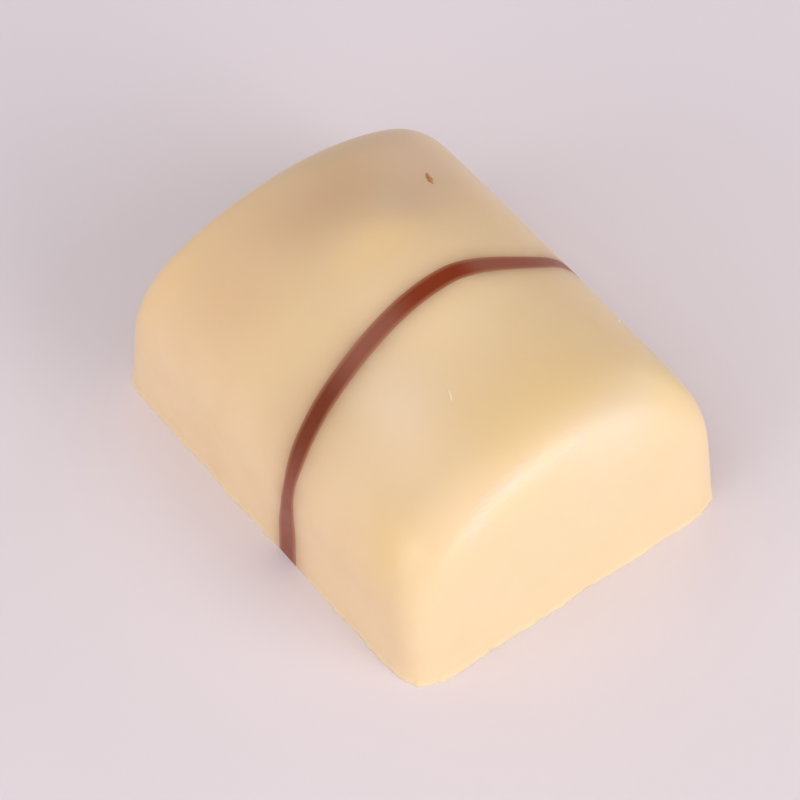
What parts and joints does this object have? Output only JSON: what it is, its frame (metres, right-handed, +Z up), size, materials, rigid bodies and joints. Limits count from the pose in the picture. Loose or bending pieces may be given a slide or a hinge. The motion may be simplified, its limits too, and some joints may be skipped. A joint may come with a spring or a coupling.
{
  "type": "white chocolate praline",
  "caption": "Moulded bar-shaped praline with an arched top, rounded ends, a flat underside and a contrasting stripe drawn across it.",
  "frame": {"origin": "middle of the flat underside", "axes": "+Z up, +Y along the length towards the back end, +X across to the right; the front end faces -Y"},
  "size_m": [0.0252, 0.0322, 0.0147],
  "materials": {
    "white_chocolate": "smooth satin white chocolate, warm cream",
    "milk_chocolate": "smooth satin milk chocolate, reddish brown, the stripe that lies flush in the body"
  },
  "bodies": {
    "root": {"praline": "white_chocolate"}
  },
  "joints": []
}
